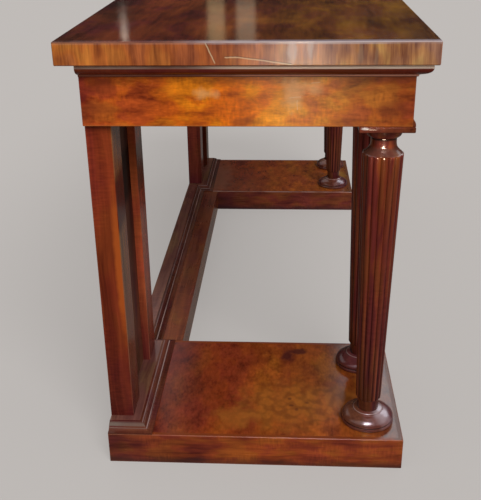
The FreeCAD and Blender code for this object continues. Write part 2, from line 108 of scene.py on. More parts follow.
class Finish:  # one material and the nodes that make it
    def __init__(self, name):
        self.material = bpy.data.materials.new(name)
        self.material.use_nodes = True
        self.tree = self.material.node_tree
        self.tree.nodes.clear()
        self.place = self.node("TexCoord", output="Object")
        self.x = self.node("SeparateXYZ", {}, {0: self.place}, "X")
        self.y = Signal(self, self.x.socket.node.outputs["Y"])
        self.z = Signal(self, self.x.socket.node.outputs["Z"])

    def node(self, kind, settings=None, sockets=None, output=0):
        made = self.tree.nodes.new("ShaderNode" + kind)
        for name, value in (settings or {}).items():
            if name == "stops":
                while len(made.color_ramp.elements) < len(value):
                    made.color_ramp.elements.new(1)
                for element, (position, colour) in zip(made.color_ramp.elements, value):
                    element.position = position
                    element.color = (*colour, 1)
            else:
                setattr(made, name, value)
        for key, value in (sockets or {}).items():
            if isinstance(value, Signal):
                self.tree.links.new(value.socket, made.inputs[key])
            else:
                made.inputs[key].default_value = value
        return Signal(self, made.outputs[output]) if made.outputs else made

    def wander(self, size, reach):  # bends every pattern made after it
        cloud = self.node("TexNoise", {}, {"Vector": self.place, "Scale": size, "Detail": 2}, "Color")
        centred = self.node("VectorMath", {"operation": "SUBTRACT"}, {0: cloud, 1: (0.5, 0.5, 0.5)})
        shift = self.node("VectorMath", {"operation": "MULTIPLY"}, {0: centred, 1: reach})
        self.place = self.node("VectorMath", {"operation": "ADD"}, {0: self.place, 1: shift})

    def noise(self, stretch, shift, detail=2):  # stretch is one scale, or one for each axis
        scales = stretch if isinstance(stretch, tuple) else (stretch,) * 3
        placed = self.node("Mapping", {}, {"Vector": self.place, "Location": shift, "Scale": scales})
        return self.node("TexNoise", {}, {"Vector": placed, "Scale": 1, "Detail": detail})

    def ramp(self, value, stops):
        return self.node("ValToRGB", {"stops": stops}, {0: value})

    def rise(self, value, start, end):  # 0 before start, 1 after end
        settings = {"interpolation_type": "SMOOTHSTEP"}
        return self.node("MapRange", settings, {0: value, 1: start, 2: end, 3: 0, 4: 1})

    def fall(self, value, start, end):  # 1 before start, 0 after end
        return 1 - self.rise(value, start, end)

    def mottle(self, shift, scale, start, end):  # soft blotches
        return self.rise(self.noise(scale, shift, 3), start, end)

    def share(self, mask, parts):  # parts is what the mask adds, then what is there without it
        more, least = parts
        return mask * more + least

    def mix(self, share, first, second):
        settings = {"data_type": "RGBA", "blend_type": "MIX"}
        colours = [(*c, 1) if isinstance(c, tuple) else c for c in (first, second)]
        return self.node("Mix", settings, {0: share, 6: colours[0], 7: colours[1]}, 2)

    def tint(self, colour, factors):  # each channel times its factor
        return self.node("VectorMath", {"operation": "MULTIPLY"}, {0: colour, 1: factors})

    def coat(self, mask, colour, coat):  # coat is (strength, colour)
        strength, tone = coat
        return self.mix(mask * strength, colour, tone)

    def patch(self, across, up, spot, ragged):  # spot is the centre and half sizes, in metres
        centreU, centreV, halfU, halfV = spot
        scale, core, rim = 38, 0.35, 1.1
        u, v = (across - centreU) / halfU, (up - centreV) / halfV
        edge = self.noise(scale, (3.1 + centreU, 1.7, 5.3), 3) - 0.5
        return self.fall((u * u + v * v) ** 0.5 + edge * ragged, core, rim)

    def patches(self, across, up, colour, marks):  # soft patches of one colour
        for spot in marks["spots"]:
            colour = self.coat(self.patch(across, up, spot, marks["ragged"]), colour, marks["coat"])
        return colour

    def line(self, value, place, width):  # thin stripe where value passes place
        return self.fall(abs(value - place), width * 0.3, width)

    def crack(self, across, up, points, width):  # thin mark along a few straight runs
        scale, wobbleU, wobbleV = 90, 0.004, 0.002
        wobble = self.noise(scale, (7.7, 2.1, 4.4), 2) - 0.5
        across, up = across + wobble * wobbleU, up + wobble * wobbleV
        mark = None
        for (startU, startV), (endU, endV) in zip(points, points[1:]):
            runU, runV = endU - startU, endV - startV
            share = ((across - startU) * runU + (up - startV) * runV) / (runU * runU + runV * runV)
            share = self.node("Clamp", {}, {0: share})
            gapU, gapV = across - (share * runU + startU), up - (share * runV + startV)
            here = self.fall((gapU * gapU + gapV * gapV) ** 0.5, width * 0.3, width)
            mark = here if mark is None else mark.maths("MAXIMUM", mark, here)
        return mark

    def output(self, shader):
        self.node("OutputMaterial", {}, {"Surface": shader})
        return self.material


woodFinish = {
    "cloud": (6, 3, 1.0),  # patterns: scale across the grain, scale along it, strength
    "streaks": (34, 1.8, 1.0),
    "lines": (170, 5, 1.0),
    "flecks": (45, 240, 1.0),
    "pores": (1000, 36, 1.0),
    "hue": (16, 7, 1.0),
    "dark": (0.32, 0.22, 0.34),  # what the darkest and the lightest figure do to the base colour
    "light": (1.66, 1.90, 1.60),
    "gold": (1.04, 1.45, 0.9),  # patches of another hue
    "plum": (0.70, 0.52, 1.2),
    "patches": 0.6,
    "hueStep": 0.14,  # how much hue makes a full patch
    # pale arrises: real wear and a painted highlight
    "wear": 0.3,
    "edgeWearAndHighlightColour": (0.40, 0.17, 0.09),
    "wearWidth": 0.0022,
    "gloss": 0.26,
    "shine": 0.4,
    "shineTint": (1.0, 0.80, 0.62),
    "bumpDepth": 0.0001,
    "bumpStrength": 0.35,
    "bumpShares": {"pores": 0.6, "lines": 0.4},
    "hazeScale": 6,
    "hazeShare": 0.6,  # how far the haze changes the gloss
    "lineGloss": 0.05,
    "fleckCloud": (-0.06, 0.10),  # flecks show where the cloud is light
    "driftCloud": 0.2,  # how far the cloud bends the drift of the base colour
    "wander": (5.0, (0.02, 0.02, 0.02)),
    "rub": (16, 0.38, 0.62),  # blotches in the wear: scale, start, end
}
figureLayers = {"cloud": 3, "streaks": 3, "lines": 2, "flecks": 1, "pores": 1, "hue": 3}
figureShares = {"cloud": 1.1, "streaks": 1.3, "lines": 0.7, "flecks": 0.6, "pores": 0.2}
# a seed moves every pattern: one for each group, or the first and the step to the next
seeds = {"boards": (1, 0.37), "columns": (20, 1.3), "rings": 31.0, "caps": 33.0, "mouldings": (40, 1.7)}
seedShifts = (1.73, 2.91, 0.67)


def edgeWearAndHighlight(finish, box, look, shift):  # worn arrises of a straight board, their pale line partly a painted highlight
    spans = []
    for axis, value in enumerate((finish.x, finish.y, finish.z)):
        centre = (box[0][axis] + box[1][axis]) / 2
        spans.append((box[1][axis] - box[0][axis]) / 2 - abs(value - centre))
    x, y, z = spans
    highest = x.maths("MAXIMUM", x.maths("MAXIMUM", x, y), z)
    lowest = x.maths("MINIMUM", x.maths("MINIMUM", x, y), z)
    edge = x + y + z - highest - lowest
    return finish.fall(edge, 0, look["wearWidth"]) * finish.mottle(shift, *look["rub"])


def makeWood(name, look, box=None, seed=0.0, detail=None):
    look = {**woodFinish, **look}
    finish = Finish(name)
    finish.wander(*look["wander"])
    along = "xyz".index(look["grain"])
    shift = tuple(seed * step for step in seedShifts)

    def figure(kind):
        across, length, strength = look[kind]
        stretch = tuple(length if axis == along else across for axis in range(3))
        return (finish.noise(stretch, shift, figureLayers[kind]) - 0.5) * strength

    figures = {kind: figure(kind) for kind in figureShares}
    figures["flecks"] = figures["flecks"] * finish.rise(figures["cloud"], *look["fleckCloud"])
    tone = sum((figures[kind] * share for kind, share in figureShares.items()), 0.5)
    base = look["base"]
    if "across" in look:  # the base colour drifts along one axis, given as (axis, start, end)
        axis, start, end = look["across"]
        value = {"x": finish.x, "y": finish.y, "z": finish.z}[axis]
        base = finish.ramp((value - start) / (end - start) + figures["cloud"] * look["driftCloud"], base)
        dark, light = finish.tint(base, look["dark"]), finish.tint(base, look["light"])
    else:
        dark, light = (tuple(b * f for b, f in zip(base, look[key])) for key in ("dark", "light"))
    colour = finish.mix(tone, dark, light)
    hue = figure("hue")
    for key, step in (("gold", look["hueStep"]), ("plum", -look["hueStep"])):
        share = finish.rise(hue, 0, step) * look["patches"]
        colour = finish.mix(share, colour, finish.tint(colour, look[key]))
    if detail:
        colour = detail(finish, colour, shift)
    if box and look["wear"]:
        colour = finish.mix(edgeWearAndHighlight(finish, box, look, shift) * look["wear"], colour, look["edgeWearAndHighlightColour"])
    haze = finish.noise(look["hazeScale"], shift, 3)
    gloss, hazeShare = look["gloss"], look["hazeShare"]
    roughness = gloss + (haze - 0.5) * (gloss * hazeShare) + figures["lines"] * look["lineGloss"]
    pores, lines = (figures[kind] * share for kind, share in look["bumpShares"].items())
    bump = finish.node("Bump", {}, {
        "Strength": look["bumpStrength"], "Distance": look["bumpDepth"], "Height": pores + lines})
    shader = finish.node("BsdfPrincipled", {}, {
        "Base Color": colour, "Roughness": roughness, "Normal": bump, "IOR": 1.5,
        "Specular IOR Level": look["shine"], "Specular Tint": (*look["shineTint"], 1)})
    return finish.output(shader)


# how each kind of board looks, where it differs from woodFinish
boardLooks = {
    "crossbanding": {
        "base": (0.37, 0.100, 0.028), "shine": 0.3, "patches": 0.5, "cloud": (9, 13, 1.1),
        "streaks": (64, 11, 1.15), "lines": (300, 20, 1.0), "flecks": (60, 60, 0.3), "hue": (22, 14, 1.2)},
    "endBanding": {
        "across": ("y", 0.32, -0.32), "shine": 0.3, "shineTint": (1.0, 0.95, 0.9), "gloss": 0.2,
        "cloud": (13, 13, 1.1), "streaks": (64, 11, 1.15), "lines": (300, 20, 1.0), "flecks": (60, 60, 0.3),
        "hue": (26, 14, 1.2), "gold": (1.02, 1.25, 1.1), "plum": (0.80, 0.82, 1.3), "patches": 0.7,
        "wander": (9.0, (0.010, 0.010, 0.010)),
        "base": [
            (0, (0.46, 0.125, 0.026)), (0.15, (0.42, 0.104, 0.024)), (0.45, (0.34, 0.074, 0.018)),
            (0.60, (0.40, 0.125, 0.050)), (0.78, (0.48, 0.185, 0.058)), (1, (0.40, 0.175, 0.085))]},
    "frieze": {
        "base": (0.40, 0.098, 0.014), "shine": 0.26, "cloud": (11, 7, 1.6), "streaks": (46, 5, 1.2),
        "flecks": (46, 280, 1.5)},
    "endFrieze": {
        "across": ("y", 0.288, -0.288), "shine": 0.26, "shineTint": (1.0, 0.78, 0.52),
        "cloud": (19, 12, 0.72), "streaks": (64, 16, 1.1), "lines": (240, 100, 0.8), "flecks": (70, 200, 1.2),
        "hue": (26, 18, 1.5), "gold": (1.05, 1.45, 1.3), "plum": (0.76, 0.58, 1.5), "patches": 0.7,
        "wander": (9.0, (0.007, 0.007, 0.007)),
        "base": [
            (0, (0.24, 0.028, 0.010)), (0.12, (0.48, 0.080, 0.010)), (0.32, (0.60, 0.116, 0.003)),
            (0.52, (0.72, 0.150, 0.001)), (0.64, (0.62, 0.160, 0.016)), (0.82, (0.44, 0.098, 0.012)),
            (1, (0.28, 0.046, 0.008))]},
    "top": {
        "across": ("y", 0.32, -0.32), "shine": 0.4, "gloss": 0.105, "cloud": (8, 5, 1.2),
        "streaks": (20, 4, 1.0), "lines": (120, 12, 1.2), "flecks": (70, 40, 1.0), "hue": (16, 8, 1.3),
        "gold": (1.2, 1.35, 1.0), "patches": 0.8, "light": (1.75, 1.80, 1.6),
        "base": [
            (0, (0.060, 0.014, 0.010)), (0.18, (0.138, 0.025, 0.013)), (0.4, (0.158, 0.033, 0.012)),
            (0.6, (0.138, 0.041, 0.011)), (0.75, (0.180, 0.064, 0.010)), (1, (0.172, 0.064, 0.011))]},
    "pilaster": {
        "across": ("z", 0.70, 0.08), "shine": 0.22,
        "base": [(0, (0.20, 0.026, 0.009)), (0.6, (0.17, 0.022, 0.009)), (1, (0.085, 0.012, 0.008))]},
    "panel": {"base": (0.062, 0.014, 0.009), "shine": 0.12, "gloss": 0.5},
    "plinth": {
        "across": ("y", 0.288, -0.31), "shine": 0.3, "shineTint": (0.9, 0.9, 0.95),
        "cloud": (22, 12, 1.0), "streaks": (56, 9, 0.85), "lines": (220, 16, 0.9), "hue": (34, 14, 1.4),
        "base": [
            (0, (0.14, 0.026, 0.013)), (0.25, (0.21, 0.034, 0.010)), (0.5, (0.27, 0.046, 0.010)),
            (1, (0.22, 0.038, 0.011))]},
    "platform": {
        "across": ("y", 0.21, -0.31), "shine": 0.4, "shineTint": (0.82, 0.97, 0.98), "gloss": 0.2,
        "cloud": (12, 10, 0.55), "streaks": (44, 26, 0.9), "lines": (190, 90, 0.9),
        "flecks": (120, 90, 1.1), "wear": 0,
        "base": [
            (0, (0.155, 0.020, 0.009)), (0.30, (0.225, 0.034, 0.008)), (0.6, (0.28, 0.060, 0.010)),
            (0.85, (0.25, 0.052, 0.010)), (1, (0.13, 0.036, 0.014))]},
    "rail": {"base": (0.150, 0.032, 0.013), "shine": 0.3},
    "ledge": {
        "base": (0.160, 0.056, 0.046), "shine": 0.5, "shineTint": (1.0, 0.95, 0.95), "gloss": 0.14,
        "plum": (0.75, 0.68, 0.8)},
    "pine": {
        "base": (0.29, 0.158, 0.075), "dark": (0.55, 0.5, 0.45), "light": (1.4, 1.45, 1.5),
        "gold": (1.05, 1.1, 1.0), "plum": (0.80, 0.74, 0.70), "patches": 0.5, "gloss": 0.75,
        "shine": 0.25, "wear": 0},
}
boardFinishes = {  # each board's look and the way its grain runs
    "top_lipping_left": ("endBanding", "z"), "top_lipping_right": ("endBanding", "z"),
    "top_lipping_front": ("crossbanding", "z"), "top_lipping_back": ("crossbanding", "z"),
    "top_veneer": ("top", "x"), "top_core": ("pine", "x"),
    "frieze_left": ("endFrieze", "y"), "frieze_right": ("endFrieze", "y"),
    "frieze_front": ("frieze", "x"), "frieze_back": ("pine", "x"),
    "pilaster_left_outer": ("pilaster", "z"), "pilaster_left_inner": ("pilaster", "z"),
    "pilaster_right_outer": ("pilaster", "z"), "pilaster_right_inner": ("pilaster", "z"),
    "back_panel_left": ("panel", "z"), "back_panel_right": ("panel", "z"),
    "plinth_outer_left": ("plinth", "y"), "plinth_outer_right": ("plinth", "y"),
    "plinth_inner_left": ("plinth", "y"), "plinth_inner_right": ("plinth", "y"),
    "plinth_front_left": ("plinth", "x"), "plinth_front_right": ("plinth", "x"),
    "plinth_back_left": ("pine", "x"), "plinth_back_right": ("pine", "x"),
    "plinth_top_left": ("platform", "x"), "plinth_top_right": ("platform", "x"),
    "stretcher": ("rail", "x"),
    "ledge_left": ("ledge", "x"), "ledge_middle": ("ledge", "x"), "ledge_right": ("ledge", "x"),
    "top_bearer_left": ("pine", "y"), "top_bearer_middle": ("pine", "y"), "top_bearer_right": ("pine", "y"),
    "column_blocks": ("pine", "z"), "pilaster_blocks": ("pine", "z"), "glue_blocks": ("pine", "z"),
}

# marks that single boards carry, in metres: spots are centres and half sizes, coats (strength, colour)
# pale line along the top's arrises: a painted highlight
arrisHighlightColour = (0.50, 0.42, 0.42)
lippingMarks = {
    # the first two pale spots are painted haze of reflected light, the last pair darker spots
    "sheenAndDarkSpots": [
        {"spots": [(-0.0770, 0.838, 0.009, 0.024)], "ragged": 2.0, "coat": (0.5, (0.52, 0.40, 0.34))},
        {"spots": [(-0.1080, 0.838, 0.006, 0.024)], "ragged": 2.0, "coat": (0.5, (0.50, 0.38, 0.32))},
        {"spots": [(-0.1900, 0.834, 0.005, 0.018), (-0.2150, 0.834, 0.004, 0.018)], "ragged": 2.0,
         "coat": (0.5, (0.20, 0.12, 0.08))}],
    "splits": [
        [(0.0642, 0.8535), (0.0486, 0.8205)],
        [(0.0320, 0.8300), (0.0091, 0.8296), (-0.0317, 0.8244), (-0.0774, 0.8178)]],
    "splitWidth": 0.0015, "splitCoat": (0.65, (0.72, 0.50, 0.28)),
    "shadeDrop": 0.0014, "shadeCoat": (0.6, (0.11, 0.035, 0.015)),
    "arris": (0.8500, 0.8522), "arrisMottle": (0.30, 0.55), "arrisShare": (0.45, 0.1),
}
arrisHighlightMarks = {"scale": 14, "ragged": 0.2, "span": (0.13, 0.02)}


def arrisHighlightSpan(finish, shift):  # where the painted arris highlight runs along the end of the top
    patchy = finish.noise(arrisHighlightMarks["scale"], shift, 3)
    return patchy, finish.rise(finish.y + (patchy - 0.5) * arrisHighlightMarks["ragged"], *arrisHighlightMarks["span"])


def markLipping(finish, colour, shift):
    marks = lippingMarks
    # pale spots of painted haze, and darker spots
    for patches in marks["sheenAndDarkSpots"]:
        colour = finish.patches(finish.y, finish.z, colour, patches)
    for run in marks["splits"]:
        shade = finish.crack(finish.y, finish.z - marks["shadeDrop"], run, marks["splitWidth"])
        split = finish.crack(finish.y, finish.z, run, marks["splitWidth"])
        colour = finish.coat(shade, colour, marks["shadeCoat"])
        colour = finish.coat(split, colour, marks["splitCoat"])
    # the pale arris line is a painted highlight, fading towards the back
    patchy, highlightAndWear = arrisHighlightSpan(finish, shift)
    share = finish.share(highlightAndWear * finish.rise(patchy, *marks["arrisMottle"]), marks["arrisShare"])
    return finish.mix(finish.rise(finish.z, *marks["arris"]) * share, colour, arrisHighlightColour)


veneerMarks = {
    "endEdge": (0.9138, 0.9146), "sideEdge": (0.3188, 0.3196), "edgeShare": (0.5, 0.4),
    "edgeColour": (0.22, 0.08, 0.04),
    # a lilac strip along the end of the top: painted reflection
    "strip": (-0.8990, -0.9050), "stripMottle": (0.25, 0.50), "stripShare": (0.75, 0.15),
    "stripColour": (0.30, 0.25, 0.28),
}


def markVeneer(finish, colour, shift):  # the thin edge of the top's veneer and a strip by the end, painted pale as highlight and reflection
    marks = veneerMarks
    edge = finish.rise(abs(finish.x), *marks["endEdge"])
    edge = edge.maths("MAXIMUM", edge, finish.rise(abs(finish.y), *marks["sideEdge"]))
    patchy, highlightAndWear = arrisHighlightSpan(finish, shift)
    pale = finish.mix(highlightAndWear, marks["edgeColour"], arrisHighlightColour)
    strip = finish.rise(finish.x, *marks["strip"]) * finish.share(highlightAndWear, marks["stripShare"])
    colour = finish.mix(strip * finish.rise(patchy, *marks["stripMottle"]), colour, marks["stripColour"])
    return finish.mix(edge * finish.share(highlightAndWear, marks["edgeShare"]), colour, pale)


friezeMarks = {
    "dark": {
        "spots": [
            (0.245, 0.775, 0.045, 0.02), (0.25, 0.735, 0.04, 0.014), (0.002, 0.712, 0.035, 0.010),
            (-0.25, 0.735, 0.03, 0.02)],
        "ragged": 1.1, "coat": (0.55, (0.17, 0.030, 0.008))},
    # pale patches: partly the wood's figure, partly painted haze of reflected light
    "pale": {
        "spots": [
            (0.070, 0.762, 0.026, 0.014), (-0.080, 0.758, 0.026, 0.040), (-0.115, 0.772, 0.02, 0.02)],
        "ragged": 1.8, "coat": (0.5, (0.76, 0.42, 0.17))},
    "scratches": [
        [(-0.0884, 0.750), (-0.0886, 0.7343)], [(-0.075, 0.755), (-0.094, 0.7565)],
        [(-0.113, 0.780), (-0.126, 0.782)]],
    "scratchWidth": 0.0010, "scratchCoat": (0.45, (0.72, 0.50, 0.32)),
    "foot": (0.7043, 0.7085), "footCoat": (0.5, (0.50, 0.16, 0.03)),
}


def markFrieze(finish, colour, shift):
    marks = friezeMarks
    colour = finish.patches(finish.y, finish.z, colour, marks["dark"])
    # pale patches, partly painted haze
    colour = finish.patches(finish.y, finish.z, colour, marks["pale"])
    for run in marks["scratches"]:
        scratch = finish.crack(finish.y, finish.z, run, marks["scratchWidth"])
        colour = finish.coat(scratch, colour, marks["scratchCoat"])
    return finish.coat(finish.fall(finish.z, *marks["foot"]), colour, marks["footCoat"])


uprightMarks = {  # the pilasters and panels; their olive tints are painted reflection, the dark band partly painted shade and reflection, the glow a painted highlight
    "scale": 7, "ragged": 0.06,
    "bandFoot": (0.485, 0.515), "bandHead": (0.590, 0.620), "foot": (0.150, 0.190),
    "pilasterFace": (0.2412, 0.2424), "panelFace": (0.2572, 0.2584),
    "innerLightAndReflectionTint": (1.6, 1.9, 2.4), "innerCoat": (0.75, (0.050, 0.012, 0.009)),
    "sideReflectionTint": (1.1, 2.5, 3.0), "sideFoot": (0.9, 0.9, 1.0), "sideBand": (0.40, 0.15, 0.2),
    # a lighter strip near the front edge: painted highlight
    "glow": {"spots": [(0.2455, 0.42, 0.011, 0.19)], "ragged": 0.7, "coat": (0.85, (0.40, 0.082, 0.013))},
    "panelReflectionTint": (1.7, 2.1, 2.3), "panelBand": (0.15, 0.1, 0.2), "panelFoot": 0.2,
}


def raggedHeight(finish, shift):
    wave = finish.noise(uprightMarks["scale"], shift, 3) - 0.5
    return finish.z + wave * uprightMarks["ragged"]


def shadeAndReflectionBand(finish, height):  # a darker band some way below the top, partly painted shade and reflection
    rising = finish.rise(height, *uprightMarks["bandFoot"])
    return rising * finish.fall(height, *uprightMarks["bandHead"])


def markInnerPilaster(finish, colour, shift):
    marks = uprightMarks
    band = shadeAndReflectionBand(finish, raggedHeight(finish, shift))
    face = finish.fall(finish.y, *marks["pilasterFace"])
    # the inner pilaster lightened and tinted as painted light and reflection, its face darkened in the
    # painted band
    return finish.coat(face * band, finish.tint(colour, marks["innerLightAndReflectionTint"]), marks["innerCoat"])


def markPilaster(finish, colour, shift):
    marks = uprightMarks
    height = raggedHeight(finish, shift)
    foot = finish.fall(height, *marks["foot"])
    face = finish.fall(finish.y, *marks["pilasterFace"])
    # the tinted part carries painted reflection and the painted dark band; the glow patch is a painted
    # highlight
    tint = finish.mix(foot, marks["sideReflectionTint"], marks["sideFoot"])
    tint = finish.mix(shadeAndReflectionBand(finish, height), tint, marks["sideBand"])
    side = finish.patches(finish.y, finish.z, colour, marks["glow"])
    return finish.mix(face, side, finish.tint(colour, tint))


def markPanel(finish, colour, shift):
    marks = uprightMarks
    height = raggedHeight(finish, shift)
    dark = shadeAndReflectionBand(finish, height) + finish.fall(height, *marks["foot"]) * marks["panelFoot"]
    face = finish.fall(finish.y, *marks["panelFace"])
    # olive tint on the panel's face: painted reflection, darker in the band and at the foot
    return finish.tint(finish.mix(dark * face, marks["panelReflectionTint"], marks["panelBand"]), colour)


plinthMarks = {
    # darker towards the bottom
    "footDarkeningScale": 30, "footDarkeningRagged": 0.02,
    "footDarkening": (0.002, 0.022), "footDarkeningCoat": (0.7, (0.035, 0.014, 0.012)),
    "strip": (0.0683, 0.0685), "stripShare": 0.8,  # the top edge of the board, round the platform
    "stripColour": (0.19, 0.040, 0.010), "front": (-0.285, -0.300), "frontColour": (0.10, 0.045, 0.022),
    # pale line on the platform's top arris: painted highlight
    "rimHeight": (0.0670, 0.0682), "rimEnd": (0.9122, 0.9134), "rimMottle": (24, 0.40, 0.58),
    "rimShare": (0.4, 0.1), "rimHighlightColour": (0.42, 0.20, 0.13),
    "farTint": (0.66, 0.70, 1.35),
    # pale line on the far platform's arris: painted highlight
    "farRimHeight": (0.0672, 0.0682), "farRimEnd": (0.5375, 0.5395), "farRimMottle": (14, 0.34, 0.56),
    "farRimShare": (0.5, 0.3), "farRimHighlightColour": (0.46, 0.34, 0.31),
}


def markPlinth(finish, colour, shift):
    marks = plinthMarks
    # darker towards the bottom
    wave = (finish.noise(marks["footDarkeningScale"], shift, 3) - 0.5) * marks["footDarkeningRagged"]
    colour = finish.coat(finish.fall(finish.z + wave, *marks["footDarkening"]), colour, marks["footDarkeningCoat"])
    front = finish.rise(finish.y, *marks["front"])
    strip = finish.mix(front, marks["stripColour"], marks["frontColour"])
    colour = finish.mix(finish.rise(finish.z, *marks["strip"]) * marks["stripShare"], colour, strip)
    # pale rim line: painted highlight
    share = finish.share(finish.mottle(shift, *marks["rimMottle"]), marks["rimShare"])
    rim = finish.rise(finish.z, *marks["rimHeight"]) * finish.rise(abs(finish.x), *marks["rimEnd"])
    return finish.mix(rim * share, colour, marks["rimHighlightColour"])


def markFarEdge(finish, colour, shift):
    marks = plinthMarks
    colour = finish.tint(markPlinth(finish, colour, shift), marks["farTint"])
    # pale rim line: painted highlight
    share = finish.share(finish.mottle(shift, *marks["farRimMottle"]), marks["farRimShare"])
    rim = finish.rise(finish.z, *marks["farRimHeight"]) * finish.fall(finish.x, *marks["farRimEnd"])
    return finish.mix(rim * share, colour, marks["farRimHighlightColour"])


platformMarks = {
    "gold": {
        "spots": [(-0.800, -0.075, 0.11, 0.12), (-0.770, -0.190, 0.06, 0.05), (-0.845, 0.030, 0.05, 0.06)],
        "ragged": 1.2, "coat": (0.55, (0.36, 0.120, 0.018))},
    "curlScale": 62, "curlSmoothness": 0.6, "curl": (0.35, 0.75), "curlColour": (0.12, 0.030, 0.008),
    "figured": (-0.79, -0.10, 0.13, 0.17), "figuredRagged": 1.0, "figuredShare": (0.4, 0.12),
    "knots": {
        "spots": [
            (-0.800, -0.086, 0.005, 0.006), (-0.776, -0.083, 0.005, 0.005),
            (-0.815, -0.098, 0.006, 0.005), (-0.790, -0.120, 0.005, 0.006)],
        "ragged": 1.6, "coat": (0.6, (0.070, 0.018, 0.008))},
    "stains": {
        "spots": [(-0.600, -0.078, 0.030, 0.018), (-0.578, -0.106, 0.018, 0.022)],
        "ragged": 1.5, "coat": (0.85, (0.060, 0.011, 0.010))},
    # the far platform's dull tone: partly surface colour, partly painted shade and reflection
    "farDullShadeAndSheen": {"spots": [(0.70, 0.19, 0.22, 0.07)], "ragged": 1.0, "coat": (0.8, (0.270, 0.082, 0.048))},
    "farGold": {"spots": [(0.72, -0.27, 0.12, 0.035)], "ragged": 1.0, "coat": (0.7, (0.26, 0.13, 0.022))},
}


def markPlatform(finish, colour, shift):
    marks = platformMarks
    colour = finish.patches(finish.x, finish.y, colour, marks["gold"])
    curl = finish.node("TexVoronoi", {"feature": "SMOOTH_F1"}, {
        "Vector": finish.place, "Scale": marks["curlScale"], "Smoothness": marks["curlSmoothness"]})
    figured = finish.patch(finish.x, finish.y, marks["figured"], marks["figuredRagged"])
    share = finish.rise(curl, *marks["curl"]) * finish.share(figured, marks["figuredShare"])
    colour = finish.mix(share, colour, marks["curlColour"])
    colour = finish.patches(finish.x, finish.y, colour, marks["knots"])
    return finish.patches(finish.x, finish.y, colour, marks["stains"])


def markFarPlatform(finish, colour, shift):
    # dull tone, partly painted shade and reflection
    colour = finish.patches(finish.x, finish.y, colour, platformMarks["farDullShadeAndSheen"])
    return finish.patches(finish.x, finish.y, colour, platformMarks["farGold"])


boardDetails = {
    "top_lipping_left": markLipping, "frieze_left": markFrieze, "top_veneer": markVeneer,
    "pilaster_left_outer": markPilaster, "pilaster_right_outer": markPilaster,
    "pilaster_left_inner": markInnerPilaster, "pilaster_right_inner": markInnerPilaster,
    "back_panel_left": markPanel, "back_panel_right": markPanel,
    "plinth_outer_left": markPlinth, "plinth_outer_right": markPlinth,
    "plinth_front_left": markPlinth, "plinth_front_right": markPlinth,
    "plinth_inner_left": markPlinth, "plinth_inner_right": markFarEdge,
    "plinth_top_left": markPlatform, "plinth_top_right": markFarPlatform,
}
firstSeed, seedStep = seeds["boards"]
for number, (node, (look, grain)) in enumerate(boardFinishes.items()):
    box = None if node.endswith("_blocks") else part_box(node)
    look = {**boardLooks[look], "grain": grain}
    material = makeWood(node + "_finish", look, box, firstSeed + number * seedStep, boardDetails.get(node))
    nodes[node].data.materials.clear()
    nodes[node].data.materials.append(material)
print("boards finished:", len(boardFinishes))


def smoothLine(points, steps):  # a rounded line through a few points (radius, height)
    line = []
    padded = [points[0], *points, points[-1]]
    for before, start, end, after in zip(padded, padded[1:], padded[2:], padded[3:]):
        for step in range(steps):
            t = step / steps
            line.append(tuple(
                0.5 * (2 * b + (c - a) * t + (2 * a - 5 * b + 4 * c - d) * t * t
                       + (3 * b - a - 3 * c + d) * t ** 3)
                for a, b, c, d in zip(before, start, end, after)))
    return line + [points[-1]]


def millimetres(*values):
    return Vector(values) / 1000


def turn(mesh, profile, x, y, steps):  # spins a profile of (radius, height), in millimetres
    verts = [mesh.verts.new(millimetres(x + radius, y, z)) for radius, z in profile]
    edges = [mesh.edges.new(pair) for pair in zip(verts, verts[1:])]
    bmesh.ops.spin(
        mesh, geom=verts + edges, cent=millimetres(x, y, 0), axis=(0, 0, 1),
        angle=math.tau, steps=steps, use_merge=True)
    bmesh.ops.remove_doubles(mesh, verts=mesh.verts[:], dist=1e-6)


def addPiece(name, mesh, material, replaced, crease=40):
    bmesh.ops.recalc_face_normals(mesh, faces=mesh.faces[:])
    data = bpy.data.meshes.new(name)
    mesh.to_mesh(data)
    mesh.free()
    data.shade_smooth()
    data.set_sharp_from_angle(angle=math.radians(crease))
    data.materials.append(material)
    piece = bpy.data.objects.new(name, data)
    scene.collection.objects.link(piece)
    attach(piece, "root")
    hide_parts(*replaced)


column = {  # profiles are (radius, height) in millimetres
    "outerX": 839.0, "innerX": 620.0, "y": -244.0,
    "reeds": 16, "reedSteps": 12, "reedDepth": 0.095, "reedRound": 2.4, "coreRadius": 21,
    "reedFoot": 121.6, "reedCrown": 646.7, "footFade": 5, "crownFade": 1.5,
    "taperStart": 127, "taperHeight": 514, "taperRows": 12, "footRadius": 25.5, "crownRadius": 37.8,
    "curveSteps": 3,
    "foot": [
        (0, 50.6), (14, 50.6), (14, 98.6), (20.9, 98.6), (21.5, 99.6), (21.5, 121.5), (22.2, 123.6),
        (24.2, 124.6)],
    "crown": [(37.7, 643.4), (37.4, 645.1), (36.9, 646.1), (35.8, 646.5)],
    "neck": [
        (35.2, 646.9), (31.7, 650.0), (26.9, 655.0), (24.4, 660.0), (23.5, 665.0), (23.4, 670.0),
        (23.5, 675.6), (22.9, 676.2), (22.9, 677.0)],
    "echinus": [(27.3, 677.2), (30.0, 679.2), (31.8, 682.0), (32.8, 685.6), (33.0, 689.5)],
    "top": [(33.0, 694.5), (14, 694.5), (14, 726.3), (0, 726.3)],
    "finish": {
        "grain": "z", "across": ("z", 0.70, 0.08), "shine": 0.3, "gloss": 0.22, "streaks": (46, 2.0, 1.2),
        "hue": (50, 7, 1.6), "patches": 0.8,
        "base": [
            (0, (0.28, 0.056, 0.021)), (0.08, (0.30, 0.052, 0.018)), (0.14, (0.23, 0.036, 0.015)),
            (0.35, (0.16, 0.025, 0.012)), (0.6, (0.13, 0.021, 0.011)), (1, (0.085, 0.017, 0.011))]},
}
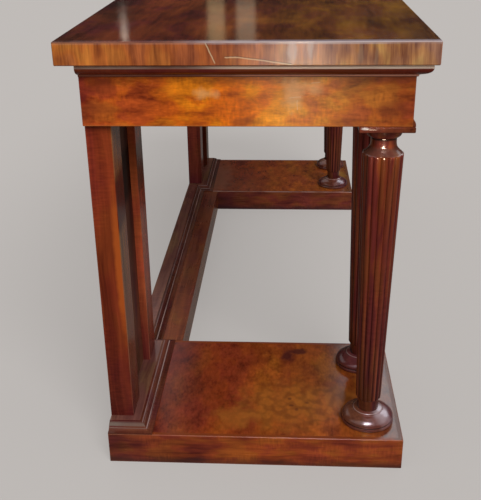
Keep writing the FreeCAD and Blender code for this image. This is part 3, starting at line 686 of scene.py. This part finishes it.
reedMarks = {  # heights in metres, coats as (strength, colour)
    "foot": (0.121, 0.126), "crown": (0.640, 0.6455), "patchScale": (30, 30, 5),
    "dimCoat": (0.5, (0.050, 0.008, 0.008)),
    # lighter reed crests: wear and painted highlight
    "crest": (0.0, 0.55), "crestPatches": (-0.05, 0.30), "crestChance": 0.35,
    "crestCoat": (0.6, (0.30, 0.072, 0.030)),
    # darker reed valleys: dirt and painted shade
    "dirtAndShade": (0.70, 1.05), "dirtAndShadeRagged": 0.7, "dirtAndShadeCoat": (0.62, (0.020, 0.007, 0.007)),
    "flareFoot": (0.6455, 0.6475), "flareHead": (0.6560, 0.6640), "flareCoat": (0.75, (0.10, 0.042, 0.030)),
    # pale rim at the reeds' tops: wear and painted highlight
    "rim": (0.6462, 0.0016), "rimPatches": (-0.16, 0.06), "rimCoat": (0.7, (0.42, 0.34, 0.33)),
    # dark line under the echinus: painted shade
    "groove": (0.6755, 0.0042), "grooveCoat": (0.8, (0.02, 0.007, 0.006)),
}


def makeShaft(side, x, seed):
    y, curveSteps, rows = column["y"], column["curveSteps"], column["taperRows"]
    foot, crown = column["footRadius"], column["crownRadius"]
    taper = [
        (foot + (crown - foot) * row / rows, column["taperStart"] + column["taperHeight"] * row / rows)
        for row in range(rows + 1)]
    neck, echinus = (smoothLine(column[part], curveSteps) for part in ("neck", "echinus"))
    mesh = bmesh.new()
    profile = column["foot"] + taper + column["crown"] + neck + echinus + column["top"]
    turn(mesh, profile, x, y, column["reeds"] * column["reedSteps"])
    low, high = column["reedFoot"], column["reedCrown"]
    for vert in mesh.verts:  # hollows between the reeds, which die out at both ends
        across = Vector((vert.co.x * 1000 - x, vert.co.y * 1000 - y))
        height = vert.co.z * 1000
        if low < height < high and across.length > column["coreRadius"]:
            angle = math.atan2(across.y, across.x) * column["reeds"] / math.tau
            offset = abs(((angle + 0.5) % 1) * 2 - 1)
            depth = column["reedDepth"] * offset ** column["reedRound"]
            fade = min(1, (height - low) / column["footFade"], (high - height) / column["crownFade"])
            across *= 1 - depth * fade
            vert.co.x, vert.co.y = (x + across.x) / 1000, (y + across.y) / 1000

    def shadeReeds(finish, colour, shift):
        marks = reedMarks
        fromX, fromY = finish.x - x / 1000, finish.y - y / 1000
        angle = fromY.maths("ARCTAN2", fromY, fromX)
        place = angle * (column["reeds"] / math.tau) + 0.5
        offset = abs((place % 1) * 2 - 1)
        number = place.maths("FLOOR", place)
        chance = finish.node("TexWhiteNoise", {"noise_dimensions": "1D"}, {"W": number + seed}) - 0.5
        zone = finish.rise(finish.z, *marks["foot"]) * finish.fall(finish.z, *marks["crown"])
        patchy = finish.noise(marks["patchScale"], shift, 2) - 0.5
        dirtAndShade = finish.rise(offset + patchy * marks["dirtAndShadeRagged"], *marks["dirtAndShade"]) * zone
        highlightAndWear = finish.rise(patchy + chance * marks["crestChance"], *marks["crestPatches"])
        crest = finish.fall(offset, *marks["crest"]) * zone * highlightAndWear
        rim = finish.line(finish.z, *marks["rim"]) * finish.rise(patchy, *marks["rimPatches"])
        flare = finish.rise(finish.z, *marks["flareFoot"]) * finish.fall(finish.z, *marks["flareHead"])
        # crests and rim carry painted highlight, valleys and the line under the echinus painted shade
        colour = finish.coat((chance + 0.5) * zone, colour, marks["dimCoat"])
        colour = finish.coat(crest, colour, marks["crestCoat"])
        colour = finish.coat(dirtAndShade, colour, marks["dirtAndShadeCoat"])
        colour = finish.coat(flare, colour, marks["flareCoat"])
        colour = finish.coat(rim, colour, marks["rimCoat"])
        return finish.coat(finish.line(finish.z, *marks["groove"]), colour, marks["grooveCoat"])

    name = "columnShaft_" + side
    material = makeWood(name + "_finish", column["finish"], None, seed, shadeReeds)
    addPiece(name, mesh, material, ["column_shaft_" + side])


columnPlaces = {
    "left_outer": -column["outerX"], "left_inner": -column["innerX"],
    "right_inner": column["innerX"], "right_outer": column["outerX"]}
firstSeed, seedStep = seeds["columns"]
for number, (side, x) in enumerate(columnPlaces.items()):
    makeShaft(side, x, firstSeed + number * seedStep)

baseRing = {
    "profile": [
        (0, 68.6), (51.2, 68.6), (52.7, 69.3), (53.5, 71.0), (53.5, 73.2), (52.8, 75.0), (51.6, 76.2),
        (51.3, 77.1), (51.9, 77.7), (52.7, 78.8), (52.9, 80.2), (52.2, 82.6), (50.0, 85.6), (46.4, 88.6),
        (42.0, 91.2), (37.6, 93.0), (34.0, 94.0), (31.8, 94.6), (30.8, 95.2), (30.5, 96.4), (29.8, 97.8),
        (28.2, 98.6), (0, 98.6)],
    "steps": 72,
    # a pale lilac patch on the near ring: painted sheen of reflected light
    "sheenPatch": {"spots": [(-0.853, -0.270, 0.032, 0.024)], "ragged": 0.9, "coat": (0.5, (0.42, 0.33, 0.36))},
    # dark line in the lower groove: painted shade
    "groove": (0.0771, 0.0016), "grooveCoat": (0.85, (0.014, 0.006, 0.006)),
    # pale line on the collar: painted highlight
    "collar": (0.0978, 0.0006), "collarHighlightCoat": (0.5, (0.40, 0.28, 0.26)),
    "finish": {
        "grain": "x", "base": (0.105, 0.025, 0.020), "shine": 1.0, "shineTint": (0.98, 0.93, 1.0),
        "gloss": 0.2, "wander": (9.0, (0.02, 0.02, 0.02))},
}


def markRing(finish, colour, shift):
    # painted sheen, painted shade line and painted collar highlight
    colour = finish.patches(finish.x, finish.y, colour, baseRing["sheenPatch"])
    colour = finish.coat(finish.line(finish.z, *baseRing["groove"]), colour, baseRing["grooveCoat"])
    return finish.coat(finish.line(finish.z, *baseRing["collar"]), colour, baseRing["collarHighlightCoat"])


def makeRings():
    mesh = bmesh.new()
    for x in columnPlaces.values():
        turn(mesh, baseRing["profile"], x, column["y"], baseRing["steps"])
    material = makeWood("baseRing_finish", baseRing["finish"], None, seeds["rings"], markRing)
    addPiece("baseRings", mesh, material, ["column_rings"])


makeRings()

capPiece = {
    "half": 48.5, "low": 694.5, "high": 704.3, "round": 1.6, "roundSteps": 3, "shoulderHalf": 43.7,
    "shoulder": [
        (0, 704.3), (4.8, 704.3), (4.9, 706.6), (4.5, 709.6), (3.5, 712.6), (2.1, 714.9), (0.6, 716.3),
        (0, 716.3)],
    # a pale spot on the near corner: painted highlight
    "highlightAndWear": {
        "spots": [(-0.2055, 0.7020, 0.0085, 0.0026)], "ragged": 0.5, "coat": (0.85, (0.90, 0.80, 0.74))},
    "finish": {
        "grain": "x", "base": (0.17, 0.036, 0.014), "shine": 0.36, "shineTint": (1.0, 0.78, 0.6),
        "gloss": 0.12},
}
friezeFace = {"end": 882.7, "front": -287.7, "back": 287.7}


def paintCapHighlight(finish, colour, shift):  # a pale corner: painted highlight
    return finish.patches(finish.y, finish.z, colour, capPiece["highlightAndWear"])


# a run of (reach, height) between two mitres, each its (x, y) and the way that it grows
def addMoulding(mesh, profile, start, end):
    def placed(reach, z, mitre):
        (x, y), (outX, outY) = mitre
        return millimetres(x + reach * outX, y + reach * outY, z)

    verts = [mesh.verts.new(placed(reach, z, start)) for reach, z in profile]
    face = mesh.faces.new(verts)
    made = bmesh.ops.extrude_face_region(mesh, geom=[face])
    far = [item for item in made["geom"] if isinstance(item, bmesh.types.BMVert)]
    moves = {vert: profile[number] for number, vert in enumerate(verts)}
    for vert in far:
        near = min(verts, key=lambda other: (other.co - vert.co).length)
        vert.co = placed(*moves[near], end)


def makeCaps():
    mesh = bmesh.new()
    size, height = capPiece["half"] * 2, capPiece["high"] - capPiece["low"]
    for x in columnPlaces.values():
        made = bmesh.ops.create_cube(mesh, size=1)["verts"]
        bmesh.ops.scale(mesh, verts=made, vec=millimetres(size, size, height))
        bmesh.ops.translate(mesh, verts=made, vec=millimetres(x, column["y"], capPiece["low"] + height / 2))
    bmesh.ops.bevel(
        mesh, geom=mesh.edges[:], offset=capPiece["round"] / 1000, affect="EDGES",
        segments=capPiece["roundSteps"], profile=0.5, material=-1)
    for x in columnPlaces.values():
        reaches = (-capPiece["shoulderHalf"], capPiece["shoulderHalf"])
        ends = [((x + reach, friezeFace["front"]), (0, -1)) for reach in reaches]
        addMoulding(mesh, capPiece["shoulder"], *ends)
    material = makeWood("cap_finish", capPiece["finish"], None, seeds["caps"], paintCapHighlight)
    addPiece("columnCaps", mesh, material, ["column_caps"])


makeCaps()
print("columns turned")


lineMarks = {"mottle": (9, 0.36, 0.6), "mottleShare": (0.4, 0.5), "fadeShare": (0.75, 0.25)}


def highlightLines(places, strength, fade=None):  # painted highlights along the arrises, each its height, half width and colour
    def mark(finish, colour, shift):
        patchy = finish.share(finish.mottle(shift, *lineMarks["mottle"]), lineMarks["mottleShare"])
        for height, width, pale in places:
            share = finish.line(finish.z, height, width) * patchy * strength
            if fade:
                share = share * finish.share(finish.rise(finish.y, *fade), lineMarks["fadeShare"])
            colour = finish.mix(share, colour, pale)
        return colour
    return mark


topMoulding = {  # the profile is (reach, height), and the path gives each mitre as in addMoulding
    "profile": [
        (0, 816), (21.4, 816), (22.8, 815.2), (23.7, 813.8), (24, 811.8), (23.9, 809.4), (23.2, 806.8),
        (21.6, 804.2), (19.0, 801.8), (15.4, 799.6), (11.0, 797.8), (6.6, 796.4), (4.0, 795.5),
        (3.0, 794.6), (3.0, 793.4), (2.4, 792.2), (1.2, 791.5), (0, 791.5)],
    "path": [
        ((-friezeFace["end"], friezeFace["back"]), (-1, 0)),
        ((-friezeFace["end"], friezeFace["front"]), (-1, -1)),
        ((friezeFace["end"], friezeFace["front"]), (1, -1)),
        ((friezeFace["end"], friezeFace["back"]), (1, 0))],
    "grains": {"left": "y", "front": "x", "right": "y"},
    # pale lines on the nose and the lower fillet: painted highlights
    "marks": highlightLines(
        [(0.8124, 0.0042, (0.98, 0.78, 0.62)), (0.7940, 0.0020, (0.80, 0.38, 0.27))], 1.6, (0.12, -0.04)),
    "finish": {"base": (0.140, 0.020, 0.011), "gloss": 0.2, "shine": 0.2, "shineTint": (1.0, 0.58, 0.34)},
}
ledgePlan = {"end": 885.7, "inner": 563.3, "front": 225, "middleFront": 257, "back": 287.7}
ledgeMoulding = {
    "profile": [
        (0, 68.6), (0, 83.8), (4.4, 83.8), (5, 83.2), (5, 82.3), (7.2, 81.9), (9.8, 80.7), (12.2, 78.7),
        (13.8, 76.4), (14.5, 75.2), (16.1, 75.2), (16.5, 73.4), (18.3, 72.1), (21.4, 71.3), (25.0, 70.9),
        (28, 70.6), (28, 68.6)],
    "path": [
        ((-ledgePlan["end"], ledgePlan["back"]), (-1, 0)),
        ((-ledgePlan["end"], ledgePlan["front"]), (-1, -1)),
        ((-ledgePlan["inner"], ledgePlan["front"]), (1, -1)),
        ((-ledgePlan["inner"], ledgePlan["middleFront"]), (1, -1)),
        ((ledgePlan["inner"], ledgePlan["middleFront"]), (-1, -1)),
        ((ledgePlan["inner"], ledgePlan["front"]), (-1, -1)),
        ((ledgePlan["end"], ledgePlan["front"]), (1, -1)),
        ((ledgePlan["end"], ledgePlan["back"]), (1, 0))],
    "grains": {
        "end_left": "y", "front_left": "x", "inner_left": "y", "middle": "x", "inner_right": "y",
        "front_right": "x", "end_right": "y"},
    # pale lines along the ledge: painted highlights; on the end runs a grey band of painted highlight
    "marks": highlightLines([(0.0828, 0.0010, (0.42, 0.30, 0.30)), (0.0750, 0.0010, (0.46, 0.32, 0.30))], 0.7),
    "endMarks": highlightLines([(0.0800, 0.0036, (0.15, 0.12, 0.10)), (0.0748, 0.0008, (0.26, 0.17, 0.14))], 0.9),
    "finish": {"base": (0.095, 0.022, 0.014), "gloss": 0.2, "shine": 0.4},
}


def runMoulding(kind, prefix, piece):
    firstSeed, seedStep = seeds["mouldings"]
    ends = zip(piece["path"], piece["path"][1:])
    for number, ((side, grain), (start, end)) in enumerate(zip(piece["grains"].items(), ends)):
        mesh = bmesh.new()
        addMoulding(mesh, piece["profile"], start, end)
        look = {**piece["finish"], "grain": grain}
        marks = piece["endMarks" if side.startswith("end") else "marks"]
        name = kind + "_" + side
        material = makeWood(name + "_finish", look, None, firstSeed + number * seedStep, marks)
        addPiece(name, mesh, material, [prefix + side])


runMoulding("topMoulding", "top_moulding_", topMoulding)
runMoulding("ledgeMoulding", "ledge_moulding_", ledgeMoulding)
print("mouldings run")

stage = {
    "background": (0.515, 0.491, 0.474),
    "floorSize": 40,
    "floorGlow": 0.62,  # the floor's own share of its brightness
    "floorLight": 0.93,  # how well the lamps light it
    "keyLight": {"strength": 2.2, "angle": 35, "from": (-1.0, -0.45, 1.0)},
    "cardSides": 48,
    "flags": {"radius": 6.0, "low": 0.002, "high": 3.4, "colour": (0.028, 0.022, 0.017)},  # dark, all round
    "mat": {"radius": 6.0, "height": 0.002, "colour": (0.18, 0.165, 0.15)},
    "lamps": {  # place, turned to, width and height, radiance, spread in degrees, colour
        "windowLeft": ((3.95, 0.462, 1.60), (0, 0.462, 1.60), (0.125, 0.42), 0.43, 170, (1.0, 0.76, 0.40)),
        "windowRight": ((3.95, 0.240, 1.60), (0, 0.240, 1.60), (0.14, 0.42), 0.35, 170, (1.0, 0.80, 0.55)),
        "candle": ((3.95, 1.158, 1.62), (0, 1.158, 1.62), (0.045, 0.11), 1.5, 170, (1.0, 0.9, 0.75)),
        "neckSpark": (
            (-1.007, -0.2327, 0.6912), (-0.86, -0.24, 0.662), (0.026, 0.034), 1300.0, 18, (1.0, 0.92, 0.85)),
        "lowStrip": ((-3.2, -0.118, 0.30), (-0.9, -0.09, 0.80), (0.13, 0.42), 38.0, 34, (1.0, 0.95, 0.9)),
        "spark": (
            (-0.997, -0.222, 0.248), (-0.890, -0.235, 0.080), (0.011, 0.011), 520.0, 24, (0.95, 0.93, 1.0)),
        "softbox": ((-1.55, -0.25, 1.62), (-0.84, -0.24, 0.09), (0.6, 0.6), 30.0, 34, (0.93, 0.92, 1.0)),
        "skylight": ((1.93, -1.84, 2.49), (-0.84, -0.24, 0.08), (3.6, 1.2), 3.0, 170, (0.85, 0.92, 1.0)),
    },
}


def makeFloor():
    mesh = bmesh.new()
    bmesh.ops.create_grid(mesh, x_segments=1, y_segments=1, size=stage["floorSize"])
    data = bpy.data.meshes.new("floor")
    mesh.to_mesh(data)
    mesh.free()
    finish = Finish("floor_finish")
    path = finish.node("LightPath", {}, {}, "Is Camera Ray")
    seen = path
    for name in ("Is Glossy Ray", "Is Transmission Ray"):
        seen = seen + Signal(finish, path.socket.node.outputs[name])
    glow = stage["floorGlow"]
    paper = [shade * (1 - glow) / stage["floorLight"] for shade in stage["background"]]
    plain = finish.node("BsdfDiffuse", {}, {"Color": (*paper, 1)})
    colour = [shade * glow for shade in stage["background"]]
    light = finish.node("Emission", {}, {"Color": (*colour, 1), "Strength": seen})
    data.materials.append(finish.output(finish.node("AddShader", {}, {0: plain, 1: light})))
    floor = bpy.data.objects.new("floor", data)
    scene.collection.objects.link(floor)


def addCard(name, mesh, colour):  # a studio card that only reflections see
    data = bpy.data.meshes.new(name)
    mesh.to_mesh(data)
    mesh.free()
    finish = Finish(name + "_finish")
    data.materials.append(finish.output(finish.node("Emission", {}, {"Color": (*colour, 1)})))
    card = bpy.data.objects.new(name, data)
    card.visible_camera = card.visible_diffuse = card.visible_shadow = False
    scene.collection.objects.link(card)


def makeCards(flags, mat):
    sides = stage["cardSides"]
    mesh = bmesh.new()
    made = bmesh.ops.create_circle(mesh, segments=sides, radius=flags["radius"])["verts"]
    bmesh.ops.translate(mesh, verts=made, vec=(0, 0, flags["low"]))
    raised = bmesh.ops.extrude_edge_only(mesh, edges=mesh.edges[:])["geom"]
    upper = [item for item in raised if isinstance(item, bmesh.types.BMVert)]
    bmesh.ops.translate(mesh, verts=upper, vec=(0, 0, flags["high"] - flags["low"]))
    addCard("flags", mesh, flags["colour"])
    mesh = bmesh.new()
    made = bmesh.ops.create_circle(mesh, segments=sides, radius=mat["radius"], cap_ends=True)["verts"]
    bmesh.ops.translate(mesh, verts=made, vec=(0, 0, mat["height"]))
    addCard("mat", mesh, mat["colour"])


def makeSun(setup):
    data = bpy.data.lights.new("keyLight", "SUN")
    data.energy = setup["strength"]
    data.angle = math.radians(setup["angle"])
    lamp = bpy.data.objects.new("keyLight", data)
    lamp.rotation_euler = Vector(setup["from"]).to_track_quat("Z", "Y").to_euler()
    lamp.visible_glossy = False
    scene.collection.objects.link(lamp)


def makeLamp(name, place, target, size, radiance, spread, colour):  # small lamp for reflections only
    data = bpy.data.lights.new(name, "AREA")
    data.shape = "RECTANGLE"
    data.size, data.size_y = size
    data.spread = math.radians(spread)
    half = data.spread / 2
    gathered = math.tan(half) / (math.tan(half) - half)  # a narrow spread makes the middle brighter
    data.energy = radiance * math.pi * size[0] * size[1] / gathered
    data.color = colour
    lamp = bpy.data.objects.new(name, data)
    lamp.location = place
    lamp.rotation_euler = (Vector(place) - Vector(target)).to_track_quat("Z", "Y").to_euler()
    lamp.visible_camera = lamp.visible_diffuse = False
    scene.collection.objects.link(lamp)


def makeWorld():
    world = bpy.data.worlds.new("studio")
    world.use_nodes = True
    world.node_tree.nodes["Background"].inputs["Color"].default_value = (*stage["background"], 1)
    scene.world = world


makeFloor()
makeCards(stage["flags"], stage["mat"])
makeSun(stage["keyLight"])
for name, setup in stage["lamps"].items():
    makeLamp(name, *setup)
makeWorld()
print("stage set")
